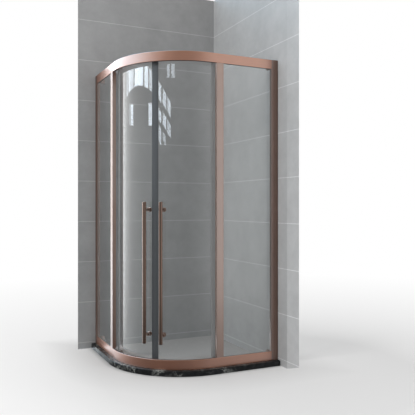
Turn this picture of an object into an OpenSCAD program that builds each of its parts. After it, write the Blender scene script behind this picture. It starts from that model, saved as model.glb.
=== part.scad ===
// Quadrant shower enclosure: two fixed glass sides, a quarter-round front and
// two curved doors that run behind the fixed sides. It stands on a stone curb
// in the corner of two walls, at +X and +Y. All sizes are in millimetres.
//
// A section is drawn in (u, z) or (u, y): u is the distance inwards from the
// outer face of the frame. Left-hand pieces are drawn in place, and right-hand
// pieces are their mirror images in the diagonal plane x = y.

/* [Plan and height] */
// Side of the square plan, from wall to outer face of the frame
side = 985; // [900:1:1200]
// Height of the frame, without the curb
frame_h = 2000; // [1800:1:2200]
// Outer radius of the quarter-round front
corner_r = 500; // [460:1:550]

/* [Stone curb] */
// Height of the curb
curb_h = 35; // [20:1:120]
// How far the curb stands out in front of the frame
curb_out = 30; // [10:1:60]
// How far the curb reaches inwards past the rail
curb_in = 15; // [5:1:60]
// Rounding of the curb's upper edges
curb_round = 4; // [1:0.5:8]

/* [Rails] */
// Height of the rail's outer face
rail_h = 60; // [56:1:80]
// Depth of the rail from its outer face
rail_d = 62; // [60:1:80]
// Wall thickness of the rail
rail_t = 2.5; // [2:0.1:3]
// Depth of the glazing pocket in the rail
pocket_h = 16; // [14:0.5:20]
// Width of the glazing pockets in rails and posts
pocket_w = 14; // [12:0.5:16]
// Reach of the track shelf from the outer face
shelf_d = 31; // [30:0.5:33]
// Height of the lip along the rail's inner edge
lip_h = 6; // [4:0.5:7]
// Rounding of the outer edges of rails and posts
edge_r = 1.5; // [0.5:0.1:2]

/* [Fixed glass] */
// Thickness of all glass
glass_t = 6; // [5:0.5:8]
// Middle of the fixed glass behind the outer face
fixed_u = 9.5; // [9.5:0.1:10]
// How deep the fixed glass sits in its pockets
glass_bite = 12; // [9:0.5:13]

/* [Posts] */
// Width of a post's face
post_w = 48; // [40:1:60]
// Depth of a post
post_d = 26; // [24:0.5:28]
// How far a post's face stands back from the rail's face
post_back = 1; // [0.5:0.1:1.2]
// Wall thickness of a post
post_t = 2; // [1.6:0.1:2.5]
// Straight length of rail between the quarter round and a post
post_gap = 32; // [28:1:40]
// Length of the block that plugs into a post
plug_len = 25; // [15:1:40]

/* [Wall profiles] */
// Depth of a wall channel from the wall
channel_w = 26; // [22:0.5:30]
// Width of a wall channel
channel_d = 28; // [27:0.5:32]
// Wall thickness of channels and jambs
channel_t = 2; // [1.6:0.1:2.5]
// Visible width of a jamb beside its channel
jamb_show = 22; // [18:0.5:30]
// Length of jamb inside its channel
jamb_in = 16; // [10:0.5:18]
// Clearance between a jamb and its channel on each side
jamb_gap = 0.3; // [0.2:0.05:0.6]
// Diameter of the wall fixing holes
fixing_d = 5.5; // [4:0.1:7]
// Distance between the outer two wall fixings
fixing_outer = 1600; // [1200:10:1700]
// Distance between the inner two wall fixings
fixing_inner = 600; // [300:10:900]

/* [Doors] */
// Middle of the door glass behind the outer face
door_u = 50; // [49:0.5:51]
// Distance from the back of a rail to the edge of the door glass
door_end = 10; // [9:0.5:12]
// Straight length of door glass past the quarter round
door_tail = 50; // [46:1:60]
// Width of the rear seal's outer leg
seal_leg = 36; // [10:1:36]
// Distance from the meeting line to the door glass
door_lead = 13; // [10:0.5:16]
// Angle that a door swings about its pole when it opens
door_open = 18; // [10:1:18]
// Distance from the arc's centre to a door's pole
pole_reach = 350; // [320:5:380]

/* [Rollers and tracks] */
// Angle from the end of the arc to the middle between two rollers
roller_mid = 16.5; // [15:0.5:18]
// Half the angle between a door's two rollers
roller_half = 16.5; // [14:0.5:17]
// Middle of the wheels behind the outer face
wheel_u = 16.5; // [16:0.1:17]
// Outer radius of a wheel
wheel_r = 11.5; // [11:0.1:12]
// Width of a wheel
wheel_w = 8; // [7.5:0.1:8.5]
// Depth of a wheel's groove
groove_d = 2.5; // [2:0.1:3]
// Width of a wheel's groove at its rim
groove_w = 5.4; // [5:0.1:5.8]
// Diameter of the roller bolts and pins
bolt_d = 6; // [5:0.5:7]
// Width of a track's base strip
track_w = 7; // [6:0.5:7.5]
// Thickness of a track's base strip
track_t = 1.5; // [1:0.1:2]
// Height of the rib on a track
rib_h = 2.5; // [2:0.1:3]
// Width of the rib on a track
rib_w = 2; // [1.5:0.1:2.2]
// Travel of the release buttons
release_travel = 5; // [4:0.5:5.5]

/* [Handles] */
// Diameter of the handle bar
handle_d = 25; // [16:0.5:30]
// Length of the handle bar
handle_len = 900; // [300:10:1200]
// Distance between the two handle fixings
handle_pitch = 800; // [200:10:1000]
// Height of the handle's middle above the curb
handle_mid = 604; // [500:1:1100]
// Distance from the middle of the door glass to the bar's middle
handle_out = 45; // [40:1:60]
// Distance from the meeting line to the handle
handle_edge = 52; // [45:1:80]
// Diameter of the handle's stand-offs
standoff_d = 14; // [10:0.5:18]
// Diameter of the inner knobs
knob_d = 32; // [24:1:40]
// Height of the inner knobs
knob_h = 24; // [18:1:30]

/* [Hidden] */
$fn = 48;

// Colours
METAL = [0.72, 0.54, 0.44];
STONE = [0.10, 0.10, 0.11];
GLASS = [0.78, 0.86, 0.86, 0.35];
SEAL = [0.30, 0.33, 0.35];
CLEAR = [0.70, 0.76, 0.80];
NYLON = [0.85, 0.85, 0.83];
STEEL = [0.75, 0.75, 0.77];

// Small clearances
EPS = 0.01;
CUT = 1;           // how far a cut runs past the face it opens
RUN = 0.05;        // radial clearance of a wheel on its pin
FIT = 0.2;         // clearance of a piece that slips into another
SEAT = 0.4;        // flat face on the hollow side of the curved glass
ROLL = 0.3;        // between a wheel's groove and its rib
SEAM = 0.25;       // from a magnetic seal to the meeting line
SIDE = 0.3;        // between a wheel and the faces beside it
SLIDE = 0.8;       // between a release slide and its housing

// Plan: walls at x = wall and y = wall, outer faces at x = -face and y = -face
wall = (side + curb_out) / 2;
face = side - wall;
centre = corner_r - face;
run_end = wall - channel_w - jamb_show;
post_y = centre + post_gap;
glass_end = post_y + post_w - glass_bite;

// Heights above the underside of a rail
top = curb_h + frame_h;
shelf_z = rail_h - pocket_h - rail_t;
pocket_u = fixed_u - pocket_w / 2;
pocket_wall = pocket_u + pocket_w;
glass_z = rail_h - glass_bite;

// Glazing pockets of posts and jambs, and the gaskets in all pockets
bite_gap = 3;
pocket_d = glass_bite + bite_gap;
gasket_back = 2;
gasket_proud = 1;

// Screws, and the ports they bite into
screw_d = 3.6;
head_d = 6.4;
head_h = 2;
socket_d = 2.8;
socket_h = 1.2;
bite_d = 3.4;
plug_screw = 10;
rail_screw = 22;
side_screw = 6;
port_r = 3.4;
port_z = shelf_z + rail_t + port_r;
plug_y = post_y + (post_w - pocket_d) / 2;
plug_z = rail_h - head_d / 2 - 0.6;

// Jamb
jamb_u = channel_t + jamb_gap;
jamb_d = channel_d - 2 * jamb_u;
jamb_pocket = 2 * (fixed_u - jamb_u - channel_t);
jamb_wall = fixed_u + jamb_pocket / 2;
port_u = (jamb_wall + jamb_u + jamb_d) / 2;
screw_y = wall - channel_w + jamb_in / 2;
screw_end = 150;
screw_heights = [curb_h + screw_end, curb_h + frame_h / 2, top - screw_end];

// Covers and caps of the rails
cover_t = 1.5;
cover_in = 0.5;
cover_leg = [1.2, 7];
end_t = 2;
end_in = 10;
end_gap = 1;

// Door glass
door_r = corner_r - door_u;
door_h = frame_h - 2 * door_end;
door_in = door_u + glass_t / 2;
door_front = door_u - glass_t / 2;
mm_deg = 180 / (PI * door_r);
lead_a = 45 - door_lead * mm_deg;
tail_y = centre + door_tail;

// Rollers run on ribs that are arcs about the door's pole
pole = centre * [1, 1] + pole_reach * [cos(roller_mid), sin(roller_mid)];
roller_a = [roller_mid + roller_half, roller_mid - roller_half];
rear_at = centre * [1, 1]
    + (corner_r - wheel_u) * [cos(180 + roller_a[1]), sin(180 + roller_a[1])];
rib_r = norm(rear_at - pole);
rib_deg = 180 / (PI * rib_r);
rear_dir = atan2(rear_at[1] - pole[1], rear_at[0] - pole[0]) + 360;
front_dir = 2 * (180 + roller_mid) - rear_dir;
tread_r = wheel_r - groove_d;
groove_slope = 0.4;
rib_z = shelf_z - track_t - rib_h;
wheel_z = rib_z - ROLL - tread_r;
track_over = 12;
wheel_side = wheel_w / 2 + SIDE;
stop_gap = 1;
stop_size = [8, 14, 14];

// Bolts, spacers and caps of the upper rollers
glass_hole = 14;
bolt_head = [10, 2];
bolt_grip = 5;
sleeve_d = 12;
flange = [22, 3];
cap = [28, 8];
cap_round = 3;

// Release mechanism of the lower rollers, in heights above a wheel's middle
slide_h = 5;
slide_w = 16;
slide_d = 8;
slide_u = door_in + SEAT + SLIDE;
spring_len = 8.5;
box_floor = -slide_h - spring_len;
box_t = 1.5;
box_wall = 5;
box_top = slide_h + 6;
push_d = 6;
push_u = slide_u + slide_d / 2;
pad = [slide_d + SLIDE, slide_w, 3];
pad_z = box_top + release_travel + 1;
pin_head = [9, 2];
pin_collar = 10;
pin_hole = bolt_d + release_travel + 3;

// Springs
spring_r = 2.8;
wire_r = 0.45;
turns = 3;
steps = 14;
sides = 6;

// Seals
clip_t = 1.5;
clip_over = 8;
magnet_w = 12;
fin_t = 1.4;
fin_end = 3;
fin_tip = post_back + post_d + 3;
drip_out = 6;
drip_in = 2.5;

// Handles
handle_a = 45 - handle_edge * mm_deg;
handle_z = [curb_h + handle_mid - handle_pitch / 2, curb_h + handle_mid + handle_pitch / 2];
bar_u = door_u - handle_out;
bar_round = 3;
stud_d = 6;
stud_len = 14;
stud_hole = 10;
rose = [5, 2.5];
knob_foot = [11, 3];
knob_neck_r = 8;
knob_head_h = 10;
knob_round = 4;

// ---------------------------------------------------------------- placing

// The mirror image on the right-hand side
module right() mirror([1, -1, 0]) children();

// Both sides
module both() {
    children();
    right() children();
}

// A rail drawn for the bottom, turned over at the top
module at_top() translate([0, 0, top]) mirror([0, 0, 1]) children();
module at_bottom() translate([0, 0, curb_h]) children();
module at_ends() {
    at_bottom() children();
    at_top() children();
}

// Local x is u, along the radius at angle a from the end of the arc
module at_arc(a) translate([centre, centre, 0]) rotate([0, 0, a])
    translate([-corner_r, 0, 0]) children();

// A section in (u, y), extruded upwards on the left side
module upright(z0, z1) translate([-face, 0, z0]) linear_extrude(z1 - z0) children();

// A section in (u, z), run along the left side from y0 to y1
module left_run(y0, y1) translate([-face, y1, 0]) rotate([90, 0, 0])
    linear_extrude(y1 - y0) children();

// A section in (u, z), turned about the arc's centre
module arc_run(a0, a1) translate([centre, centre, 0]) rotate([0, 0, 180 + a0])
    rotate_extrude(angle = a1 - a0, $fn = 144) translate([corner_r, 0]) mirror([1, 0]) children();

// A section in (u, z), run along the whole frame
module frame_run(y_end) {
    both() left_run(centre, y_end) children();
    arc_run(0, 90) children();
}

// A section in (radius, z) about the pole of the left door
module pole_arc(a0, a1) translate([pole[0], pole[1], 0]) rotate([0, 0, a0])
    rotate_extrude(angle = a1 - a0, $fn = 180) children();

// ---------------------------------------------------------------- shapes

// What a rounded corner takes off, with the corner at the origin
module corner_cut(r) difference() {
    translate([-CUT, -CUT]) square(r + CUT);
    translate([r, r]) circle(r);
}

module box_round(w, h, r) difference() {
    square([w, h]);
    corner_cut(r);
    translate([w, 0]) mirror([1, 0]) corner_cut(r);
    translate([0, h]) mirror([0, 1]) corner_cut(r);
    translate([w, h]) rotate(180) corner_cut(r);
}

// Rod along +u from u0 to u1
module rod(d, u0, u1) translate([u0, 0, 0]) rotate([0, 90, 0]) cylinder(d = d, h = u1 - u0);

// Solid of revolution about +u; the section is in (radius, u)
module turned_u() rotate([0, 90, 0]) rotate_extrude() children();

// Pan-head screw along -u, with the underside of its head at the origin
module screw(len) {
    rod(screw_d, -len, 0);
    rotate([0, 90, 0]) difference() {
        cylinder(d = head_d, h = head_h);
        translate([0, 0, head_h - socket_h]) cylinder(d = socket_d, h = socket_h + CUT, $fn = 6);
    }
}

// ---------------------------------------------------------------- frame

module curb_section() difference() {
    translate([-curb_out, 0]) square([curb_out + rail_d + curb_in, curb_h]);
    translate([-curb_out, curb_h]) mirror([0, 1]) corner_cut(curb_round);
    translate([rail_d + curb_in, curb_h]) rotate(180) corner_cut(curb_round);
}

module rail_section() difference() {
    union() {
        square([rail_d, rail_t]);
        square([rail_t, rail_h]);
        translate([0, shelf_z]) square([shelf_d, rail_t]);
        translate([pocket_wall, shelf_z]) square([rail_t, rail_h - shelf_z]);
        translate([rail_d - rail_t, 0]) square([rail_t, lip_h]);
        translate([pocket_wall + rail_t / 2, shelf_z + rail_t / 2])
            square([port_u - pocket_wall - rail_t / 2, 2 * port_r]);
        translate([port_u, port_z]) circle(port_r);
    }
    translate([port_u, port_z]) circle(d = bite_d);
    corner_cut(edge_r);
    translate([0, rail_h]) mirror([0, 1]) corner_cut(edge_r);
}

module rail() difference() {
    frame_run(run_end) rail_section();
    both() translate([-face, plug_y, plug_z])
        rod(screw_d + 2 * FIT, pocket_wall - CUT, pocket_wall + rail_t + CUT);
}

module channel_section() difference() {
    translate([0, wall - channel_w]) square([channel_d, channel_w]);
    translate([channel_t, wall - channel_w - CUT])
        square([channel_d - 2 * channel_t, channel_w - channel_t + CUT]);
}

module wall_channel() difference() {
    upright(curb_h, top) channel_section();
    for (d = [-fixing_outer, -fixing_inner, fixing_inner, fixing_outer])
        translate([channel_d / 2 - face, wall - channel_t - CUT, curb_h + frame_h / 2 + d / 2])
            rotate([-90, 0, 0]) cylinder(d = fixing_d, h = channel_t + 2 * CUT);
    for (z = screw_heights) translate([channel_d - face, screw_y, z])
        rod(screw_d + 2 * FIT, -channel_t - CUT, CUT);
}

// Glazing pocket in front, and a shell that is open towards the wall
module jamb_section() translate([0, run_end]) difference() {
    translate([jamb_u, 0]) square([jamb_d, jamb_show + jamb_in]);
    translate([jamb_u + channel_t, -CUT]) square([jamb_pocket, pocket_d + CUT]);
    translate([jamb_wall + channel_t, channel_t])
        square([jamb_u + jamb_d - jamb_wall - 2 * channel_t, jamb_show + jamb_in]);
    translate([jamb_u + channel_t, pocket_d + channel_t])
        square([jamb_d - 2 * channel_t, jamb_show + jamb_in]);
}

module jamb() difference() {
    upright(curb_h, top) jamb_section();
    for (z = screw_heights) translate([-face, screw_y, z])
        rod(bite_d, jamb_u + jamb_d - channel_t - CUT, jamb_u + jamb_d + CUT);
    at_ends() translate([port_u - face, run_end - CUT, port_z])
        rotate([-90, 0, 0]) cylinder(d = screw_d + 2 * FIT, h = channel_t + 2 * CUT);
}

module post_section() translate([post_back, post_y]) difference() {
    box_round(post_d, post_w, edge_r);
    translate([pocket_u - post_back, post_w - pocket_d]) square([pocket_w, pocket_d + CUT]);
    translate([post_t, post_t]) square([post_d - 2 * post_t, post_w - pocket_d - 2 * post_t]);
    translate([pocket_wall - post_back + post_t, post_w - pocket_d])
        square([post_d - pocket_wall + post_back - 2 * post_t, pocket_d - post_t]);
}

module post() upright(curb_h + rail_h, top - rail_h) post_section();

// Block that stands in the rail's pocket and reaches into the post
module post_plug() difference() {
    translate([-face, 0, shelf_z + rail_t]) linear_extrude(pocket_h + plug_len)
        translate([post_back + post_t + FIT, post_y + post_t + FIT])
            square([pocket_wall - post_back - post_t - 2 * FIT,
                    post_w - pocket_d - 2 * post_t - 2 * FIT]);
    translate([-face, plug_y, plug_z]) rod(bite_d, pocket_wall - plug_screw, pocket_wall + CUT);
}

module fixed_glass() translate([fixed_u - glass_t / 2 - face, glass_end, curb_h + glass_z])
    cube([glass_t, run_end + glass_bite - glass_end, frame_h - 2 * glass_z]);

// Gaskets line the four pockets round the fixed glass
module glazing_gasket() difference() {
    deep = glass_bite + gasket_back + gasket_proud;
    union() {
        at_ends() left_run(post_y + post_w, run_end)
            translate([pocket_u, glass_z - gasket_back]) square([pocket_w, deep]);
        upright(curb_h + rail_h + gasket_proud, top - rail_h - gasket_proud) {
            translate([pocket_u, glass_end - gasket_back]) square([pocket_w, deep]);
            translate([jamb_u + channel_t, run_end - gasket_proud]) square([jamb_pocket, deep]);
        }
    }
    fixed_glass();
}

// Snap-in strip that closes the empty pocket between the posts
module pocket_cover() {
    run = centre + post_gap;
    low = pocket_u + FIT;
    high = pocket_wall - FIT;
    frame_run(run) translate([low, rail_h - cover_in - cover_t]) square([high - low, cover_t]);
    frame_run(run) for (u = [low, high - cover_leg[0]])
        translate([u, rail_h - cover_in - cover_leg[1]]) square(cover_leg);
}

// Track strip with its rib, for the bottom rail
module track() pole_arc(front_dir + track_over * rib_deg,
                        rear_dir - door_open - track_over * rib_deg) {
    translate([rib_r - track_w / 2, shelf_z - track_t]) square([track_w, track_t]);
    translate([rib_r - rib_w / 2, rib_z]) square([rib_w, rib_h + EPS]);
}

// Cap that closes the end of a rail beside the jamb
module rail_end_cap() {
    low = shelf_d + end_gap;
    high = rail_d - rail_t - FIT;
    left_run(run_end, run_end + end_t)
        translate([channel_d + end_gap, 0]) square([rail_d - channel_d - end_gap, rail_h]);
    left_run(run_end - end_in, run_end + EPS)
        translate([low, rail_t + FIT]) square([high - low, rail_h - 2 * rail_t]);
}

module frame_screw_set() {
    at_ends() translate([pocket_wall + rail_t - face, plug_y, plug_z]) screw(plug_screw);
    at_ends() translate([port_u - face, run_end + channel_t, port_z])
        rotate([0, 0, 90]) screw(rail_screw);
    for (z = screw_heights) translate([channel_d - face, screw_y, z]) screw(side_screw);
}

// Rubber buffer on the shelf, just past the rear wheel of an open door
module door_stop() {
    start = rear_dir - door_open - (wheel_r + stop_gap) * rib_deg;
    pole_arc(start, start - stop_size[1] * rib_deg)
        translate([rib_r - stop_size[0] / 2, shelf_z - stop_size[2]])
            square([stop_size[0], stop_size[2]]);
}

// ---------------------------------------------------------------- door

// A section in (u, z), run along the left door's glass
module door_run(a1, y1) {
    arc_run(0, a1) children();
    left_run(centre, y1) children();
}

// Hole through the door glass along u
module glass_bore(d) rod(d, door_front - 5 * CUT, door_in + 5 * CUT);

module door_glass() difference() {
    translate([0, 0, curb_h]) door_run(lead_a, tail_y)
        translate([door_front, door_end]) square([glass_t, door_h]);
    for (a = roller_a) {
        at_top() at_arc(a) translate([0, 0, wheel_z]) glass_bore(glass_hole);
        at_bottom() at_arc(a) translate([0, 0, wheel_z - release_travel / 2])
            glass_bore(pin_hole);
    }
    for (z = handle_z) at_arc(handle_a) translate([0, 0, z]) glass_bore(stud_hole);
}

// Two legs over the glass's leading edge, and the magnet strip in front of them
module magnetic_seal() translate([0, 0, curb_h + door_end]) {
    for (u = [door_front - clip_t, door_in])
        arc_run(lead_a - clip_over * mm_deg, lead_a + clip_t * mm_deg)
            translate([u, 0]) square([clip_t, door_h]);
    arc_run(lead_a, 45 - SEAM * mm_deg)
        translate([door_u - magnet_w / 2, 0]) square([magnet_w, door_h]);
}

// Clip over the glass's rear edge, with a wide outer leg and a fin towards the post
module rear_seal() {
    upright(curb_h + door_end, top - door_end) {
        translate([door_front - clip_t, tail_y - seal_leg]) square([clip_t, seal_leg + clip_t]);
        translate([door_front - clip_t, tail_y]) square([glass_t + 2 * clip_t, clip_t]);
        translate([door_in, tail_y - clip_over]) square([clip_t, clip_over + clip_t]);
    }
    upright(curb_h + rail_h + fin_end, top - rail_h - fin_end)
        translate([fin_tip, tail_y + clip_t - fin_t])
            square([door_front - clip_t - fin_tip + EPS, fin_t]);
}

// Channel along the glass's lower edge; its inner leg is short, below the housings
module bottom_seal() translate([0, 0, curb_h + door_end]) difference() {
    door_run(lead_a - (clip_over + CUT) * mm_deg, tail_y - seal_leg - CUT) {
        translate([door_front - clip_t, -clip_t]) square([glass_t + clip_t, clip_t + drip_out]);
        translate([door_u, -clip_t]) square([glass_t / 2 + clip_t, clip_t + drip_in]);
    }
    door_run(lead_a, tail_y) translate([door_front, 0]) square([glass_t, drip_out + CUT]);
}

// Bar with rounded ends and two stand-offs, bored for the studs
module handle() at_arc(handle_a) difference() {
    union() {
        translate([bar_u, 0, curb_h + handle_mid - handle_len / 2]) rotate_extrude()
            intersection() {
                translate([-handle_d / 2, 0]) box_round(handle_d, handle_len, bar_round);
                square([handle_d, handle_len]);
            }
        for (z = handle_z) translate([0, 0, z]) rod(standoff_d, bar_u, door_front);
    }
    for (z = handle_z) translate([0, 0, z]) rod(stud_d + 2 * FIT, door_front - stud_len - CUT, door_in);
}

module handle_roses() for (z = handle_z) at_arc(handle_a) translate([door_front, 0, z])
    turned_u() translate([standoff_d / 2 + FIT, -rose[1]]) square(rose);

// Round knob with the stud that passes through the glass
module handle_knob() {
    rod(stud_d, door_front - stud_len, door_in + SEAT + CUT);
    translate([door_in + SEAT, 0, 0]) turned_u() {
        square(knob_foot);
        square([knob_neck_r, knob_h - CUT]);
        translate([0, knob_h - knob_head_h]) intersection() {
            translate([-knob_d / 2, 0]) box_round(knob_d, knob_head_h, knob_round);
            square(knob_d);
        }
    }
}

module handle_knobs() for (z = handle_z) at_arc(handle_a) translate([0, 0, z]) handle_knob();

// ---------------------------------------------------------------- rollers

// Grooved wheel about the u axis
module wheel(a) at_arc(a) translate([wheel_u, 0, wheel_z]) turned_u() polygon([
    [bolt_d / 2 + RUN, -wheel_w / 2], [wheel_r, -wheel_w / 2], [wheel_r, -groove_w / 2],
    [tread_r, groove_slope - groove_w / 2], [tread_r, groove_w / 2 - groove_slope],
    [wheel_r, groove_w / 2], [wheel_r, wheel_w / 2], [bolt_d / 2 + RUN, wheel_w / 2]
]);

module roller_bolt(a) at_arc(a) translate([0, 0, wheel_z]) {
    rod(bolt_head[0], wheel_u - wheel_side - bolt_head[1], wheel_u - wheel_side);
    rod(bolt_d, wheel_u - wheel_side - EPS, door_in + SEAT + bolt_grip);
}

// Sleeve between wheel and glass, with a flange and a spigot in the hole
module roller_spacer(a) at_arc(a) translate([0, 0, wheel_z]) difference() {
    union() {
        rod(sleeve_d, wheel_u + wheel_side, door_front);
        rod(flange[0], door_front - flange[1], door_front);
        rod(glass_hole - 2 * FIT, door_front - EPS, door_in);
    }
    rod(bolt_d + 2 * FIT, wheel_u, door_in + CUT);
}

module roller_cap(a) at_arc(a) translate([door_in + SEAT, 0, wheel_z]) turned_u() difference() {
    intersection() {
        translate([-cap[0] / 2, -cap_round]) box_round(cap[0], cap[1] + cap_round, cap_round);
        square([cap[0] / 2, cap[1]]);
    }
    translate([-CUT, -CUT]) square([bolt_d / 2 + FIT + CUT, bolt_grip + FIT + CUT]);
}

// Housing of a release slide, open towards the glass
module release_housing(a) at_arc(a) translate([0, 0, wheel_z]) difference() {
    translate([door_in + SEAT, -slide_w / 2 - box_wall, box_floor - box_t])
        cube([slide_d + 2 * SLIDE + box_t, slide_w + 2 * box_wall, box_top - box_floor + box_t]);
    translate([door_in, -slide_w / 2 - FIT, box_floor])
        cube([slide_d + SEAT + 2 * SLIDE, slide_w + 2 * FIT, slide_h + FIT - box_floor]);
    translate([push_u, 0, 0]) cylinder(d = push_d + 2 * FIT, h = box_top + CUT);
}

// Slide with the wheel's pin and the push button
module release(a) at_arc(a) translate([0, 0, wheel_z]) {
    translate([slide_u, -slide_w / 2, -slide_h]) cube([slide_d, slide_w, 2 * slide_h]);
    rod(bolt_d, wheel_u - wheel_side - EPS, slide_u + CUT);
    rod(pin_head[0], wheel_u - wheel_side - pin_head[1], wheel_u - wheel_side);
    rod(pin_collar, wheel_u + wheel_side, door_front - 2 * CUT);
    translate([push_u, 0, 0]) cylinder(d = push_d, h = pad_z + EPS);
    translate([push_u - pad[0] / 2, -pad[1] / 2, pad_z]) cube(pad);
}

// Helical spring under the slide
module spring(a) at_arc(a) translate([push_u, 0, wheel_z + box_floor]) {
    rise = spring_len - 2 * wire_r - 2 * FIT;
    n = turns * steps;
    rings = [for (i = [0:n]) for (j = [0:sides - 1])
        let (t = 360 * i / steps, s = 360 * j / sides, r = spring_r + wire_r * cos(s))
        [r * cos(t), r * sin(t), FIT + wire_r + rise * i / n + wire_r * sin(s)]];
    walls = [for (i = [0:n - 1]) for (j = [0:sides - 1])
        let (k = (j + 1) % sides)
        [i * sides + j, (i + 1) * sides + j, (i + 1) * sides + k, i * sides + k]];
    polyhedron(rings, concat(walls, [[for (j = [0:sides - 1]) j]],
        [[for (j = [sides - 1:-1:0]) n * sides + j]]), convexity = 6);
}

// ---------------------------------------------------------------- nodes

module stone_curb() color(STONE) frame_run(wall) curb_section();
module bottom_rail() color(METAL) at_bottom() rail();
module top_rail() color(METAL) at_top() rail();
module left_wall_channel() color(METAL) wall_channel();
module right_wall_channel() color(METAL) right() wall_channel();
module left_jamb() color(METAL) jamb();
module right_jamb() color(METAL) right() jamb();
module left_post() color(METAL) post();
module right_post() color(METAL) right() post();
module left_fixed_glass() color(GLASS) fixed_glass();
module right_fixed_glass() color(GLASS) right() fixed_glass();
module left_glazing_gasket() color(SEAL) glazing_gasket();
module right_glazing_gasket() color(SEAL) right() glazing_gasket();
module pocket_covers() color(SEAL) at_ends() pocket_cover();
module top_tracks() color(STEEL) at_top() both() track();
module bottom_tracks() color(STEEL) at_bottom() both() track();
module post_plugs() color(STEEL) both() at_ends() post_plug();
module rail_end_caps() color(METAL) both() at_ends() rail_end_cap();
module frame_screws() color(STEEL) both() frame_screw_set();
module door_stops() color(SEAL) both() at_top() door_stop();

module left_door_glass() color(GLASS) door_glass();
module left_magnetic_seal() color(SEAL) magnetic_seal();
module left_rear_seal() color(CLEAR) rear_seal();
module left_bottom_seal() color(CLEAR) bottom_seal();
module left_handle() color(METAL) handle();
module left_handle_roses() color(METAL) handle_roses();
module left_handle_knobs() color(METAL) handle_knobs();
module left_roller_bolts() color(STEEL) at_top() for (a = roller_a) roller_bolt(a);
module left_roller_spacers() color(NYLON) at_top() for (a = roller_a) roller_spacer(a);
module left_roller_caps() color(METAL) at_top() for (a = roller_a) roller_cap(a);
module left_release_housings() color(METAL) at_bottom() for (a = roller_a) release_housing(a);
module left_front_release() color(STEEL) at_bottom() release(roller_a[0]);
module left_rear_release() color(STEEL) at_bottom() release(roller_a[1]);
module left_front_spring() color(STEEL) at_bottom() spring(roller_a[0]);
module left_rear_spring() color(STEEL) at_bottom() spring(roller_a[1]);
module left_top_front_wheel() color(NYLON) at_top() wheel(roller_a[0]);
module left_top_rear_wheel() color(NYLON) at_top() wheel(roller_a[1]);
module left_bottom_front_wheel() color(NYLON) at_bottom() wheel(roller_a[0]);
module left_bottom_rear_wheel() color(NYLON) at_bottom() wheel(roller_a[1]);

module right_door_glass() color(GLASS) right() door_glass();
module right_magnetic_seal() color(SEAL) right() magnetic_seal();
module right_rear_seal() color(CLEAR) right() rear_seal();
module right_bottom_seal() color(CLEAR) right() bottom_seal();
module right_handle() color(METAL) right() handle();
module right_handle_roses() color(METAL) right() handle_roses();
module right_handle_knobs() color(METAL) right() handle_knobs();
module right_roller_bolts() color(STEEL) right() at_top() for (a = roller_a) roller_bolt(a);
module right_roller_spacers() color(NYLON) right() at_top() for (a = roller_a) roller_spacer(a);
module right_roller_caps() color(METAL) right() at_top() for (a = roller_a) roller_cap(a);
module right_release_housings() color(METAL) right() at_bottom()
    for (a = roller_a) release_housing(a);
module right_front_release() color(STEEL) right() at_bottom() release(roller_a[0]);
module right_rear_release() color(STEEL) right() at_bottom() release(roller_a[1]);
module right_front_spring() color(STEEL) right() at_bottom() spring(roller_a[0]);
module right_rear_spring() color(STEEL) right() at_bottom() spring(roller_a[1]);
module right_top_front_wheel() color(NYLON) right() at_top() wheel(roller_a[0]);
module right_top_rear_wheel() color(NYLON) right() at_top() wheel(roller_a[1]);
module right_bottom_front_wheel() color(NYLON) right() at_bottom() wheel(roller_a[0]);
module right_bottom_rear_wheel() color(NYLON) right() at_bottom() wheel(roller_a[1]);

stone_curb();
bottom_rail();
top_rail();
left_wall_channel();
right_wall_channel();
left_jamb();
right_jamb();
left_post();
right_post();
left_fixed_glass();
right_fixed_glass();
left_glazing_gasket();
right_glazing_gasket();
pocket_covers();
top_tracks();
bottom_tracks();
post_plugs();
rail_end_caps();
frame_screws();
door_stops();
left_door_glass();
left_magnetic_seal();
left_rear_seal();
left_bottom_seal();
left_handle();
left_handle_roses();
left_handle_knobs();
left_roller_bolts();
left_roller_spacers();
left_roller_caps();
left_release_housings();
left_front_release();
left_rear_release();
left_front_spring();
left_rear_spring();
left_top_front_wheel();
left_top_rear_wheel();
left_bottom_front_wheel();
left_bottom_rear_wheel();
right_door_glass();
right_magnetic_seal();
right_rear_seal();
right_bottom_seal();
right_handle();
right_handle_roses();
right_handle_knobs();
right_roller_bolts();
right_roller_spacers();
right_roller_caps();
right_release_housings();
right_front_release();
right_rear_release();
right_front_spring();
right_rear_spring();
right_top_front_wheel();
right_top_rear_wheel();
right_bottom_front_wheel();
right_bottom_rear_wheel();
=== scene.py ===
import math

import bpy
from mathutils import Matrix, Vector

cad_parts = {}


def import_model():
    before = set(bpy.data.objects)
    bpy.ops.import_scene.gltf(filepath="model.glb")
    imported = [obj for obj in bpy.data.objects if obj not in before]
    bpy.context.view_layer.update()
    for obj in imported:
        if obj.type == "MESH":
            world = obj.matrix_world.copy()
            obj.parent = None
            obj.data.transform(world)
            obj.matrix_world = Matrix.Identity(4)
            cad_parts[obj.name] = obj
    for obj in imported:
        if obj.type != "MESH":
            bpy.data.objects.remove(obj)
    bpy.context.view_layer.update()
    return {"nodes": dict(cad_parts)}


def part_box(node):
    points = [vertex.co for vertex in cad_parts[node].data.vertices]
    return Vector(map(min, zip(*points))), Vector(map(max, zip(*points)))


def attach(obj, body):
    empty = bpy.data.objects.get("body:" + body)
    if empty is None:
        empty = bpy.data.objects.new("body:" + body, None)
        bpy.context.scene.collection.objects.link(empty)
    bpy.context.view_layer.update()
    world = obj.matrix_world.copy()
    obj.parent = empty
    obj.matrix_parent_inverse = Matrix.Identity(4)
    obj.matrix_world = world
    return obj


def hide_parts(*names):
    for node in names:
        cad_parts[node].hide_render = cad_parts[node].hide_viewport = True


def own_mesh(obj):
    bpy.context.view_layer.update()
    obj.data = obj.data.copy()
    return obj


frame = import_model()
nodes = frame["nodes"]
scene = bpy.context.scene


# ---------------------------------------------------------------- camera

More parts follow.
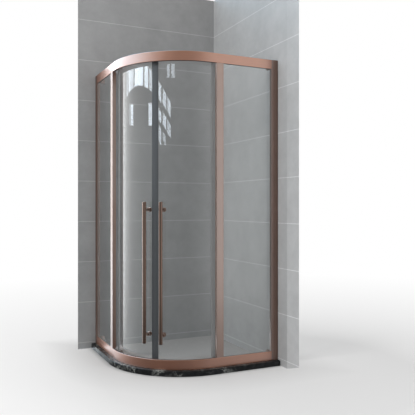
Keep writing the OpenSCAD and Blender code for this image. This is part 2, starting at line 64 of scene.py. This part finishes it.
CAMERA_AT = (-1.5774, -3.8028, 1.0568)
CAMERA_YAW = -25.205             # degrees round from +Y
SENSOR = 36.0
LENS = 50.49
SHIFT_UP = -0.0017
CLIP = (0.05, 60.0)


def camera():
    """Level camera at the photograph's place and angle."""
    data = bpy.data.cameras.new("camera")
    data.sensor_width = SENSOR
    data.lens = LENS
    data.shift_y = SHIFT_UP
    data.clip_start, data.clip_end = CLIP
    obj = bpy.data.objects.new("camera", data)
    obj.location = CAMERA_AT
    obj.rotation_euler = (math.radians(90), 0, math.radians(CAMERA_YAW))
    scene.collection.objects.link(obj)
    scene.camera = obj


camera()


# ---------------------------------------------------------------- node helpers

def srgb(r, g, b):
    """A colour picked as 0-255 sRGB, as linear light."""
    def lin(v):
        v /= 255.0
        return v / 12.92 if v <= 0.04045 else ((v + 0.055) / 1.055) ** 2.4
    return (lin(r), lin(g), lin(b), 1.0)


def scaled(colour, share):
    """A colour made darker or lighter. No channel goes over 1."""
    return tuple(min(1.0, c * share) for c in colour[:3]) + (1.0,)


class Graph:
    """Node tree of a material or a world, with short calls to add and join nodes."""

    def __init__(self, owner, output="ShaderNodeOutputMaterial"):
        owner.use_nodes = True
        self.owner = owner
        self.tree = owner.node_tree
        self.tree.nodes.clear()
        self.out = self.add(output)

    def add(self, kind, props=None, **values):
        """New node. The values are for its inputs, with _ where their names have a space."""
        node = self.tree.nodes.new(kind)
        for key, value in (props or {}).items():
            setattr(node, key, value)
        for key, value in values.items():
            self.put(node.inputs[key.replace("_", " ")], value)
        return node

    def put(self, socket, value):
        """Join a socket to another one, or set it to a plain value."""
        if isinstance(value, bpy.types.NodeSocket):
            self.tree.links.new(value, socket)
        else:
            socket.default_value = value

    def feed(self, node, values):
        """Fill the inputs of a node by their numbers."""
        for i, value in values.items():
            self.put(node.inputs[i], value)
        return node

    def place(self):
        """Where a point lies on its object."""
        return self.add("ShaderNodeTexCoord").outputs["Object"]

    def coords(self, scale=(1, 1, 1)):
        return self.add("ShaderNodeMapping", Vector=self.place(), Scale=scale).outputs["Vector"]

    def split(self, vector):
        return self.add("ShaderNodeSeparateXYZ", Vector=vector).outputs

    def noise(self, vector, scale, detail=3.0, rough=0.5, distortion=0.0):
        node = self.add("ShaderNodeTexNoise", Vector=vector, Scale=scale, Detail=detail,
                        Roughness=rough, Distortion=distortion)
        return node.outputs["Fac"]

    def span(self, value, lo, hi, out_lo=0.0, out_hi=1.0):
        """A value between lo and hi, as one between out_lo and out_hi, and clamped there."""
        node = self.add("ShaderNodeMapRange", Value=value)
        return self.feed(node, {1: lo, 2: hi, 3: out_lo, 4: out_hi}).outputs["Result"]

    def math(self, op, a, b=None):
        node = self.add("ShaderNodeMath", {"operation": op})
        return self.feed(node, {0: a} if b is None else {0: a, 1: b}).outputs[0]

    def times(self, a, *others):
        for b in others:
            a = self.math("MULTIPLY", a, b)
        return a

    def flip(self, value):
        return self.math("SUBTRACT", 1.0, value)

    def vector(self, op, a, b=None):
        node = self.add("ShaderNodeVectorMath", {"operation": op})
        second = 3 if op == "SCALE" else 1
        self.feed(node, {0: a} if b is None else {0: a, second: b})
        return node.outputs["Value" if op in ("DOT_PRODUCT", "DISTANCE") else "Vector"]

    def blend(self, fac, a, b):
        """Colour a where fac is 0, colour b where it is 1."""
        node = self.add("ShaderNodeMix", {"data_type": "RGBA"})
        return self.feed(node, {0: fac, 6: a, 7: b}).outputs[2]

    def mix_vectors(self, fac, a, b):
        node = self.add("ShaderNodeMix", {"data_type": "VECTOR"})
        return self.feed(node, {0: fac, 4: a, 5: b}).outputs[1]

    def mix_shaders(self, fac, a, b):
        return self.feed(self.add("ShaderNodeMixShader"), {0: fac, 1: a, 2: b}).outputs[0]

    def ring(self, turn, start, stops):
        """A grey level that follows (degrees, level) stops round a circle from start."""
        turn = self.math("FLOORED_MODULO", self.math("SUBTRACT", turn, start), 360.0)
        ramp = self.add("ShaderNodeValToRGB", Fac=self.math("DIVIDE", turn, 360.0))
        band = ramp.color_ramp
        for deg, v in stops:
            at = (deg - start) % 360 / 360
            stop = band.elements[0] if at == 0 else band.elements.new(at)
            stop.color = (v, v, v, 1)
        end = band.elements[len(band.elements) - 1]
        end.color = band.elements[0].color    # the circle closes
        return ramp.outputs["Color"]

    def bump(self, height, strength, distance, face=None):
        node = self.add("ShaderNodeBump", Height=height, Strength=strength, Distance=distance)
        if face is not None:
            self.put(node.inputs["Normal"], face)
        return node.outputs["Normal"]

    def principled(self, **values):
        return self.add("ShaderNodeBsdfPrincipled", **values).outputs[0]

    def finish(self, shader):
        """Make a shader the surface, and give back the material or world."""
        self.tree.links.new(shader, self.out.inputs["Surface"])
        return self.owner


def material(name):
    return Graph(bpy.data.materials.new(name))


# ---------------------------------------------------------------- materials

ARC_CENTRE = 0.0225              # centre of the quarter arc, in x and in y
BROAD_FACE = 0.98                # how squarely a face of the glass looks out, if it isn't an edge

# How finely a grain runs along x, y and z.
METAL_GRAIN = {"run": (5, 5, 900), "z": (900, 900, 4)}
UPRIGHT_LINES = (500, 500, 6)
LEVEL_LINES = (6, 6, 500)
FINE_SPECKS = (300, 300, 300)
TURNED_STEEL = (60, 60, 900)
DRAWN_STEEL = (8, 8, 900)
LONG_DROPS = (1, 1, 0.35)


def from_arc(g, x, y):
    """How far a place lies to the left and in front of the arc's centre, each 0 or less."""
    return tuple(g.math("MINIMUM", g.math("SUBTRACT", v, ARC_CENTRE), 0.0) for v in (x, y))


def true_face(g):
    """Normal of the glass as it is bent, without the facets of its mesh. Edges keep their own."""
    x, y, _ = g.split(g.coords())
    left, front = from_arc(g, x, y)
    out = g.add("ShaderNodeCombineXYZ", X=left, Y=front).outputs[0]
    turned = g.add("ShaderNodeVectorTransform", {"vector_type": "NORMAL", "convert_from": "OBJECT",
                                                 "convert_to": "WORLD"}, Vector=out)
    out = g.vector("NORMALIZE", turned.outputs[0])
    own = g.add("ShaderNodeNewGeometry").outputs["Normal"]
    facing = g.vector("DOT_PRODUCT", out, own)
    broad = g.math("GREATER_THAN", g.math("ABSOLUTE", facing), BROAD_FACE)
    return g.mix_vectors(broad, own, g.vector("SCALE", out, g.math("SIGN", facing)))


def satin_metal(name, along, base, metallic=0.78, rough=0.38, coat=1.0):
    """Rose-gold anodised metal with a hard bright film over it. Its fine grain runs round the
    plan, or up."""
    g = material(name)
    grain = g.noise(g.coords(METAL_GRAIN[along]), scale=1.0, detail=4.0, rough=0.6)
    cloud = g.noise(g.coords(), scale=9.0, detail=3.0)
    tone = g.math("ADD", g.span(grain, 0.3, 0.7, 0.0, 0.6), g.span(cloud, 0.3, 0.7, 0.0, 0.4))
    return g.finish(g.principled(
        Base_Color=g.blend(tone, scaled(base, 0.86), scaled(base, 1.10)), Metallic=metallic,
        Roughness=g.span(tone, 0.0, 1.0, rough - 0.05, rough + 0.05),
        Normal=g.bump(grain, strength=0.12, distance=0.0002),
        Coat_Weight=coat, Coat_Roughness=0.24, Coat_IOR=2.9))


def clear_glass(name):
    """Toughened glass: faint wave, a little dried water, and no dark shadow."""
    g = material(name)
    wave = g.noise(g.coords(), scale=5.0, detail=1.0, rough=0.4)
    marks = g.noise(g.coords(LONG_DROPS), scale=130.0, detail=5.0, rough=0.65)
    clean, marked = (0.945, 0.957, 0.957, 1), (0.92, 0.94, 0.94, 1)
    glass = g.principled(Base_Color=g.blend(g.span(marks, 0.5, 0.8), clean, marked),
                         Roughness=g.span(marks, 0.60, 0.80, 0.0, 0.03), IOR=1.5,
                         Transmission_Weight=1.0,
                         Normal=g.bump(wave, strength=0.006, distance=0.002, face=true_face(g)))
    shadow = g.add("ShaderNodeBsdfTransparent", Color=(0.95, 0.965, 0.965, 1)).outputs[0]
    path = g.add("ShaderNodeLightPath")
    return g.finish(g.mix_shaders(path.outputs["Is Shadow Ray"], glass, shadow))


def vein(g, noise, middle, width):
    """1 along the line where the noise passes its middle value, down to 0 beside it."""
    return g.span(g.math("ABSOLUTE", g.math("SUBTRACT", noise, middle)), 0.0, width, 1.0, 0.0)


def marble(name):
    """Polished black marble with grey veins in two sizes."""
    g = material(name)
    at = g.coords()
    warp = g.add("ShaderNodeTexNoise", Vector=at, Scale=6.0, Detail=4.0, Roughness=0.55)
    bent = g.mix_vectors(0.12, at, warp.outputs["Color"])
    big = g.noise(bent, scale=5.0, detail=4.0, rough=0.6, distortion=0.4)
    small = g.noise(bent, scale=19.0, detail=5.0, rough=0.62, distortion=0.8)
    crack = g.noise(bent, scale=70.0, detail=5.0, rough=0.65, distortion=1.2)
    broken = g.times(vein(g, big, 0.5, 0.03), g.span(crack, 0.44, 0.58, 0.15, 1.0))
    thin = g.times(vein(g, small, 0.52, 0.022), 0.7)
    patch = g.span(g.noise(at, scale=9.1, detail=2.0), 0.44, 0.60)
    veins = g.times(g.math("MAXIMUM", broken, thin), patch)
    cloud = g.noise(at, scale=30.0, detail=4.0, rough=0.6)
    stone = g.blend(cloud, srgb(10, 10, 12), srgb(44, 46, 47))
    dull = g.noise(at, scale=52.0, detail=4.0, rough=0.6)
    return g.finish(g.principled(
        Base_Color=g.blend(veins, stone, srgb(164, 167, 163)),
        Roughness=g.span(dull, 0.42, 0.60, 0.15, 0.42), Specular_IOR_Level=0.1,
        Normal=g.bump(dull, strength=0.15, distance=0.002)))


def soft_plastic(name, colour, rough, lines=UPRIGHT_LINES, spread=0.12, **extra):
    """Extruded or moulded plastic or rubber, with faint draw lines."""
    g = material(name)
    grain = g.noise(g.coords(lines), scale=1.0)
    speck = g.noise(g.coords(), scale=420.0, detail=2.0, rough=0.6)
    tone = g.math("ADD", g.times(grain, 0.6), g.times(speck, 0.4))
    low, high = scaled(colour, 1 - spread), scaled(colour, 1 + spread)
    return g.finish(g.principled(
        Base_Color=g.blend(g.span(tone, 0.3, 0.7), low, high),
        Roughness=g.span(tone, 0.3, 0.7, rough - 0.06, rough + 0.06),
        Normal=g.bump(tone, strength=0.10, distance=0.0003), **extra))


def bright_steel(name, lines):
    """Stainless steel with turning or drawing marks."""
    g = material(name)
    grain = g.noise(g.coords(lines), scale=1.0, detail=4.0, rough=0.6)
    return g.finish(g.principled(
        Base_Color=g.blend(grain, srgb(150, 150, 152), srgb(205, 205, 206)), Metallic=1.0,
        Roughness=g.span(grain, 0.3, 0.7, 0.20, 0.34),
        Normal=g.bump(grain, strength=0.15, distance=0.0002)))


METAL_RUN = satin_metal("rose_metal_rail", "run", srgb(186, 120, 88))
# The uprights' paler, greyer base than the rails' is partly their own finish and partly painted
# reflection, the whitish sheen they show.
METAL_UP = satin_metal("rose_metal_upright", "z", srgb(152, 117, 101))
METAL_BAR = satin_metal("rose_metal_handle", "z", srgb(148, 126, 115), metallic=1.0, rough=0.16,
                        coat=0.0)
METAL_SMALL = satin_metal("rose_metal_small", "z", srgb(150, 116, 98))
GLASS = clear_glass("clear_glass")
STONE = marble("black_marble")
MAGNET = soft_plastic("dark_magnetic_seal", srgb(68, 71, 74), 0.42)
GASKET = soft_plastic("grey_gasket", srgb(128, 122, 118), 0.55)
DARK_GASKET = soft_plastic("dark_cover", srgb(60, 54, 50), 0.5, LEVEL_LINES)
CLEAR_PVC = soft_plastic("clear_seal", srgb(176, 178, 178), 0.30, spread=0.06, Alpha=0.42)
NYLON = soft_plastic("white_nylon", srgb(226, 226, 220), 0.38, FINE_SPECKS, spread=0.05)
STEEL = bright_steel("steel", TURNED_STEEL)
TRACK = bright_steel("track_steel", DRAWN_STEEL)

FINISH = {
    "stone_curb": STONE,
    "bottom_rail": METAL_RUN,
    "top_rail": METAL_RUN,
    "rail_end_caps": METAL_SMALL,
    "pocket_covers": DARK_GASKET,
    "top_tracks": TRACK,
    "bottom_tracks": TRACK,
    "post_plugs": NYLON,
    "frame_screws": STEEL,
    "door_stops": DARK_GASKET,
    "wall_channel": METAL_UP,
    "jamb": METAL_UP,
    "post": METAL_UP,
    "fixed_glass": GLASS,
    "glazing_gasket": GASKET,
    "door_glass": GLASS,
    "magnetic_seal": MAGNET,
    "rear_seal": CLEAR_PVC,
    "bottom_seal": CLEAR_PVC,
    "handle": METAL_BAR,
    "handle_roses": METAL_SMALL,
    "handle_knobs": METAL_SMALL,
    "roller_bolts": STEEL,
    "roller_spacers": NYLON,
    "roller_caps": METAL_SMALL,
    "release_housings": METAL_SMALL,
    "front_release": STEEL,
    "rear_release": STEEL,
    "front_spring": STEEL,
    "rear_spring": STEEL,
    "top_front_wheel": NYLON,
    "top_rear_wheel": NYLON,
    "bottom_front_wheel": NYLON,
    "bottom_rear_wheel": NYLON,
}


def paint(obj, mat):
    """Give every slot of an object one material, and a slot where it has none."""
    if not obj.material_slots:
        obj.data.materials.append(mat)
    for slot in obj.material_slots:
        slot.material = mat


for name, obj in nodes.items():
    paint(obj, FINISH[name.removeprefix("left_").removeprefix("right_")])


# ---------------------------------------------------------------- springs

COIL_RADIUS = 0.0028
WIRE_RADIUS = 0.00045
COIL_TURNS = 3
COIL_STEPS = 32                  # round one turn
WIRE_STEPS = 12                  # round the wire
CLOSING = 0.6                    # how much flatter the coil runs at its two ends


def coil_mesh(name, middle, foot, rise):
    """Round wire that climbs by rise from foot, with a flat cap at each end."""
    rings = COIL_TURNS * COIL_STEPS
    points = []
    for i in range(rings + 1):
        turn = math.tau * i / COIL_STEPS
        share = i / rings
        share -= CLOSING * math.sin(math.tau * share) / math.tau
        for j in range(WIRE_STEPS):
            round_wire = math.tau * j / WIRE_STEPS
            reach = COIL_RADIUS + WIRE_RADIUS * math.cos(round_wire)
            points.append((middle.x + reach * math.cos(turn), middle.y + reach * math.sin(turn),
                           foot + WIRE_RADIUS * (1 + math.sin(round_wire)) + rise * share))
    last = rings * WIRE_STEPS
    faces = [tuple(range(WIRE_STEPS)), tuple(reversed(range(last, last + WIRE_STEPS)))]
    for i in range(rings):
        for j in range(WIRE_STEPS):
            a, b = i * WIRE_STEPS + j, i * WIRE_STEPS + (j + 1) % WIRE_STEPS
            faces.append((a, a + WIRE_STEPS, b + WIRE_STEPS, b))
    mesh = bpy.data.meshes.new(name)
    mesh.from_pydata(points, [], faces)
    mesh.shade_smooth()
    return mesh


def coil(side, place):
    """Spring under one release slide, in place of its CAD node, riding on its door."""
    node = f"{side}_{place}_spring"
    low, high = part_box(node)
    middle = (low + high) / 2
    tall = high.z - low.z
    mesh = coil_mesh(node + "_coil", middle, low.z, tall - 2 * WIRE_RADIUS)
    obj = bpy.data.objects.new(node + "_coil", mesh)
    scene.collection.objects.link(obj)
    paint(obj, STEEL)
    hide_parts(node)
    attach(obj, side + "_door")
    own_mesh(obj)


for side in ("left", "right"):
    for place in ("front", "rear"):
        coil(side, place)


# ---------------------------------------------------------------- light in the studio

PALE = 1.0                       # background as it is seen
PLAIN_LIGHT = 0.45               # of the world, on the object itself
WINDOW_COLOUR = (0.82, 0.91, 1.0, 1)

# How bright the studio is as shiny surfaces mirror it: degrees round from +X, strength.
# A wide window lies to the left and behind, and the camera's side is dim.
ROOM = ((60, 0.5), (90, 1.8), (106, 3.2), (118, 3.0), (134, 1.75), (150, 1.05), (168, 0.70),
        (190, 0.38), (212, 0.24), (236, 0.24), (258, 0.25), (274, 0.37), (286, 0.58), (298, 0.88),
        (330, 0.70))
# The same, higher up, as the top rail mirrors it.
LOFT = ((60, 0.8), (90, 2.5), (106, 3.05), (120, 3.05), (140, 2.75), (168, 1.97), (180, 1.72),
        (195, 1.18), (205, 0.90), (224, 0.55), (243, 0.31), (258, 0.32), (270, 0.39), (285, 0.54),
        (300, 0.78), (330, 0.76))
LOFT_FROM = (13.8, 15.2)         # degrees up, between which it takes over from ROOM
# The same for the floor close by, which glows with it in what metal and glass mirror:
# painted light, as the floor is no lamp.
SHINE = ((96, 1.2), (112, 1.9), (130, 2.10), (150, 0.98), (164, 0.88), (176, 0.44), (188, 0.18),
         (202, 0.10), (235, 0.08), (262, 0.15), (279, 0.28), (300, 0.38))
GLOW_TOP = 4.0                   # nothing in the tables is brighter

# Colour of that light as satin metal shows it: on the window's side, on the other side, and the
# degrees round between which it goes from one to the other.
COOL = (0.97, 1.45, 1.8, 1)
WARM = (1.03, 0.90, 0.78, 1)
COOL_TO_WARM = (165.0, 225.0)


def seen(g):
    """1 for rays from the camera and for what metal and glass show, else 0."""
    path = g.add("ShaderNodeLightPath").outputs
    shown = g.math("MAXIMUM", path["Is Glossy Ray"], path["Is Transmission Ray"])
    return g.math("MAXIMUM", path["Is Camera Ray"], shown)


def mirrored(g):
    """1 for what metal and both faces of the glass throw back to the camera, else 0."""
    path = g.add("ShaderNodeLightPath").outputs
    shiny = g.math("MAXIMUM", path["Is Glossy Ray"], path["Is Transmission Ray"])
    return g.times(shiny, g.math("GREATER_THAN", path["Glossy Depth"], 0.5),
                   g.math("LESS_THAN", path["Diffuse Depth"], 0.5))


def sharp(g):
    """1 for rays off clean glass, which doesn't blur them as satin metal does, else 0."""
    return g.add("ShaderNodeLightPath").outputs["Is Singular Ray"]


def turn_of(g, vector):
    """How far round from +X a direction or place lies, from 0 to 360 degrees."""
    x, y, _ = g.split(vector)
    return g.math("FLOORED_MODULO", g.math("DEGREES", g.math("ARCTAN2", y, x)), 360.0)


def glow(g, turn, table):
    """Brightness from one of the tables above, as a part of GLOW_TOP."""
    return g.ring(turn, table[0][0], [(deg, v / GLOW_TOP) for deg, v in table])


def tinge(g, turn, share):
    """Colour of the light that satin metal mirrors. Glass mirrors it white."""
    colour = g.blend(g.span(turn, *COOL_TO_WARM), COOL, WARM)
    return g.blend(g.times(g.flip(sharp(g)), share), (1, 1, 1, 1), colour)


# ---------------------------------------------------------------- floor and walls

FLOOR_REACH = 14.0
FLOOR_LEVEL = -0.0005            # just clear of the curb's underside
FADE_FROM = (0.35, -0.5, 0.0)    # the floor whitens away from here,
FADE_NEAR = 1.0185               # from this far off
FADE_FAR = 5.5                   # to this far, where it is white
SHINE_REACH = (0.9, 3.4)         # how far off SHINE ends and ROOM begins
SHINE_TINGE = 0.2                # share of the colour in the light off the floor
ARC_RADIUS = 0.50
CURB_SHADE = 0.07                # painted shade: the enclosure's greyer floor ends this far outside its plan, and the floor beside it is painted darker as far as this
NEAR_SHADE = 0.40                # and the floor beside it is darker as far as this
INNER = (0.36, 0.20)             # painted shade: grey of the floor inside, from the front to the darker back corner
INNER_SPAN = (-0.5, 0.9)         # and x + y at those two places
OUTER = (0.64, 0.75)             # grey of the floor outside, painted darker close by as shade, and lighter farther off

WALL = 0.5105                    # the two walls that the enclosure stands against
WALL_TOP = 2.75
WALL_FRONT = -0.6                # painted shade: the walls darken from here to the corner
TILE = 0.3004                    # height of the wall tiles, with their joint
TILE_FOOT = 0.0445               # underside of the lowest joint
TILE_LOW = (0.76, 0.77, 0.78)    # mottle, darkest and lightest
TILE_HIGH = (1.22, 1.24, 1.25)
JOINT = 0.0045
JOINT_GAIN = 1.45
BACK_EDGE = -0.609
SIDE_EDGE = -0.724
SIDE_TURN = -0.586               # painted light: before here the side wall stands for its own lighter end face, which is farther off, so that its lower edge is seen higher
END_LIFT = 0.041                 # which is farther off, so that its lower edge is seen higher
END_GAIN = (1.32, 1.08)          # painted light: how much lighter that face is, low down and high up, at these heights
END_HEIGHTS = (0.2, 2.0)         # at these heights
CLOSE_SOFT = 0.06                # painted shade: depth over which satin metal's view of a wall darkens, and by how much
CLOSE_DARK = 0.85                # and by how much


def plane(name, corners, mat):
    """One flat face of the stage."""
    mesh = bpy.data.meshes.new(name)
    mesh.from_pydata(corners, [], [tuple(range(len(corners)))])
    mesh.materials.append(mat)
    obj = bpy.data.objects.new(name, mesh)
    scene.collection.objects.link(obj)


def outside(g, x, y, reach):
    """0 on the enclosure's own floor, rising to 1 at reach outside its plan."""
    left, front = from_arc(g, x, y)
    away = g.math("SQRT", g.math("ADD", g.times(left, left), g.times(front, front)))
    behind = g.math("MAXIMUM", x, y)
    return g.math("MAXIMUM", g.span(away, ARC_RADIUS, ARC_RADIUS + reach),
                  g.span(behind, WALL, WALL + reach))


def floor():
    """Pale floor with painted shade in and beside the enclosure, that fades into the white
    background. Where metal and glass mirror it, it glows by SHINE and ROOM: painted light.
    """
    g = material("floor_pale")
    at = g.place()
    x, y, _ = g.split(at)
    wide = outside(g, x, y, NEAR_SHADE)
    # painted shade: darker inside the enclosure, most in the back corner, and close outside it
    inner_shade = g.span(g.math("ADD", x, y), *INNER_SPAN, *INNER)
    outer_shade = g.span(wide, 0.0, 1.0, *OUTER)
    dull = g.principled(Base_Color=g.blend(outside(g, x, y, CURB_SHADE), inner_shade, outer_shade),
                        Roughness=0.6, Specular_IOR_Level=0.0)
    away = g.vector("DISTANCE", at, FADE_FROM)
    far = g.span(g.math("DIVIDE", 1.0, away), 1 / FADE_NEAR, 1 / FADE_FAR)
    far = g.times(far, wide, seen(g))
    thrown = mirrored(g)
    turn = turn_of(g, at)
    # painted reflection: the floor glows by SHINE close by and ROOM beyond, in what metal and
    # glass mirror
    glint = g.blend(g.span(away, *SHINE_REACH), glow(g, turn, SHINE), glow(g, turn, ROOM))
    glint = g.times(glint, g.times(thrown, GLOW_TOP))
    white = g.add("ShaderNodeEmission", Color=tinge(g, turn, g.times(thrown, SHINE_TINGE)),
                  Strength=g.math("ADD", glint, g.math("SUBTRACT", PALE, thrown)))
    shader = g.mix_shaders(g.math("MAXIMUM", far, thrown), dull, white.outputs[0])
    r = FLOOR_REACH
    plane("floor", [(u * r, v * r, FLOOR_LEVEL) for u, v in ((-1, -1), (1, -1), (1, 1), (-1, 1))],
          g.finish(shader))


def tiles(g, height, tone):
    """Colour of mottled stone tiles, with pale joints between their courses."""
    mottle = g.noise(g.coords(), scale=7.0, detail=6.0, rough=0.7)
    stone = g.blend(mottle, scaled(TILE_LOW, tone), scaled(TILE_HIGH, tone))
    course = g.math("FLOORED_MODULO", g.math("SUBTRACT", height, TILE_FOOT), TILE)
    joint = g.span(g.math("LESS_THAN", course, JOINT), 0.0, 1.0, 1.0, JOINT_GAIN)
    return g.vector("SCALE", stone, joint)


def wall_grey(name, tone, axis, corner, turn, close, reach, above):
    """Tiled grey wall along x or y, as axis says, that only shows from the front. Painted shade
    darkens it towards the corner, down to the factor corner, and painted light makes it lighter
    before turn. Satin metal mirrors it dark past close, a painted shade. Mirrored, it ends at
    reach from the height above up, or over its whole height where above lies under the floor."""
    g = material(name)
    face = g.add("ShaderNodeNewGeometry").outputs
    place = g.split(face["Position"])
    along, height = place[axis], place[2]
    thrown = mirrored(g)
    # painted shade in what satin metal mirrors of the wall past close
    close_shade = g.times(thrown, g.flip(sharp(g)),
                   g.span(along, close - CLOSE_SOFT, close, 0.0, CLOSE_DARK))
    # painted shade: darker towards the corner, and where satin metal mirrors it past close
    dark = g.math("MAXIMUM", g.span(along, WALL_FRONT, WALL, 0.0, 1.0 - corner), close_shade)
    plain = tiles(g, height, tone)
    # painted light: the end face lighter than the rest of the wall, most low down
    bright = g.vector("SCALE", plain, g.span(height, *END_HEIGHTS, *END_GAIN))
    ending = g.times(g.math("LESS_THAN", along, turn), g.flip(thrown))
    colour = g.blend(dark, g.blend(ending, plain, bright), (0, 0, 0, 1))
    dull = g.principled(Base_Color=colour, Roughness=0.6)
    gone = g.times(g.math("LESS_THAN", along, reach), g.math("GREATER_THAN", height, above))
    shown = g.times(g.flip(face["Backfacing"]), g.flip(g.times(gone, thrown)), seen(g))
    clear = g.add("ShaderNodeBsdfTransparent").outputs[0]
    return g.finish(g.mix_shaders(shown, clear, dull))


def backdrop():
    """The two tiled walls, as seen past and through the enclosure."""
    # The side wall's higher tone than the back wall's is painted light, for the more light it
    # catches.
    plane("backdrop_back", [(BACK_EDGE, WALL, 0), (WALL, WALL, 0),
                            (WALL, WALL, WALL_TOP), (BACK_EDGE, WALL, WALL_TOP)],
          wall_grey("backdrop_back_grey", tone=0.27, axis=0, corner=0.76, turn=BACK_EDGE,
                    close=-0.475, reach=-0.56, above=2.1))
    plane("backdrop_side", [(WALL, WALL, 0), (WALL, SIDE_TURN, 0), (WALL, SIDE_EDGE, END_LIFT),
                            (WALL, SIDE_EDGE, WALL_TOP), (WALL, WALL, WALL_TOP)],
          wall_grey("backdrop_side_grey", tone=0.39, axis=1, corner=0.84, turn=SIDE_TURN,
                    close=-0.52, reach=-0.61, above=-1.0))


floor()
backdrop()


# ---------------------------------------------------------------- window and world

# Panes of the window that the glass mirrors: from and to in degrees round, low and high in
# degrees up, kind of edge, strength.
SASHES = ((133.0, 138.0, 10.6, 13.3, "level", 2.0),
          (139.5, 154.0, 11.7, 14.1, "arched", 4.5), (156.4, 176.0, 11.7, 14.1, "arched", 8.5),
          (178.8, 186.5, 11.7, 14.1, "arched", 8.5), (188.5, 196.5, 11.7, 13.7, "arched", 6.0),
          (141.0, 146.0, 7.9, 9.9, "level", 1.5), (146.0, 153.0, 7.9, 9.9, "level", 5.0),
          (187.2, 196.5, 7.9, 10.05, "level", 7.0),
          (206.5, 211.0, 10.65, 12.3, "slanted", 7.0), (214.0, 220.0, 10.9, 12.4, "slanted", 6.0),
          (222.0, 228.0, 10.95, 12.4, "slanted", 5.5),
          (206.5, 211.0, 8.7, 9.8, "slanted", 7.0), (214.0, 220.0, 8.95, 10.2, "slanted", 6.5),
          (222.0, 228.0, 8.95, 10.25, "slanted", 5.0),
          (206.5, 211.0, 6.6, 8.2, "slanted", 5.5), (214.0, 219.0, 7.4, 8.3, "slanted", 4.0),
          (221.5, 226.0, 12.5, 14.1, "level", 4.0), (229.0, 234.5, 12.5, 14.1, "level", 4.0))
SOFT_ROUND = 0.3                 # half the width of a pane's soft edge, in degrees round
SOFT_UP = 0.05                   # and in degrees up
ARCH = (169.0, 33.0)             # middle of the arched edge, and how far off it is 1 degree down
SLANT = (205.0, 0.10)            # where the slanted edges start, and degrees down per degree round


def within(g, value, low, high, soft):
    """1 between low and high, with soft edges, else 0."""
    return g.times(g.span(value, low - soft, low + soft),
                   g.span(value, high - soft, high + soft, 1.0, 0.0))


def window(g, turn, rise):
    """Strength of the window's light from one direction."""
    bow = g.math("DIVIDE", g.math("SUBTRACT", turn, ARCH[0]), ARCH[1])
    slope = g.times(g.math("SUBTRACT", turn, SLANT[0]), SLANT[1])
    height = {"level": rise, "arched": g.math("ADD", rise, g.times(bow, bow)),
              "slanted": g.math("ADD", rise, slope)}
    light = 0.0
    for left, right, low, high, edge, strength in SASHES:
        lit = g.times(within(g, turn, left, right, SOFT_ROUND),
                      within(g, height[edge], low, high, SOFT_UP))
        light = g.math("ADD", light, g.times(lit, strength))
    return light


def world():
    """White as it is seen, plain light on the object, and the studio in what shines."""
    studio = bpy.data.worlds.new("studio")
    scene.world = studio
    g = Graph(studio, "ShaderNodeOutputWorld")
    way = g.add("ShaderNodeTexCoord").outputs["Generated"]
    turn = turn_of(g, way)
    rise = g.math("DEGREES", g.math("ARCSINE", g.split(way)[2]))
    lofty = g.span(rise, *LOFT_FROM)

    def light(colour, strength):
        return g.add("ShaderNodeBackground", Color=colour, Strength=strength).outputs[0]

    shown = g.blend(lofty, glow(g, turn, ROOM), glow(g, turn, LOFT))
    room = light(tinge(g, turn, lofty), g.times(shown, GLOW_TOP))
    panes = light(WINDOW_COLOUR, g.times(window(g, turn, rise), sharp(g)))
    both = g.feed(g.add("ShaderNodeAddShader"), {0: panes, 1: room}).outputs[0]
    white = (1, 1, 1, 1)
    plain = g.mix_shaders(seen(g), light(white, PLAIN_LIGHT), light(white, PALE))
    g.finish(g.mix_shaders(mirrored(g), plain, both))


world()


# ---------------------------------------------------------------- lamps

def lamp(name, at, aim, size, power):
    """Flat lamp turned towards aim. Mirrored and through glass it doesn't show."""
    data = bpy.data.lights.new(name, "AREA")
    data.shape = "RECTANGLE"
    data.size, data.size_y = size
    data.energy = power
    obj = bpy.data.objects.new(name, data)
    obj.location = at
    x, y, z = (b - a for a, b in zip(at, aim))
    pitch = math.atan2(z, math.hypot(x, y))
    obj.rotation_euler = (math.radians(90) + pitch, 0, math.atan2(y, x) - math.radians(90))
    obj.visible_glossy = False
    obj.visible_transmission = False
    scene.collection.objects.link(obj)


lamp("key", at=(-3.4, -1.2, 2.6), aim=(0, 0, 1.0), size=(1.6, 2.4), power=90)
lamp("fill", at=(1.8, -3.6, 2.2), aim=(0, 0, 1.0), size=(2.0, 2.4), power=40)
lamp("top", at=(0.2, 0.2, 4.2), aim=(0, 0, 0.5), size=(2.6, 2.6), power=45)

scene.view_settings.view_transform = "Standard"
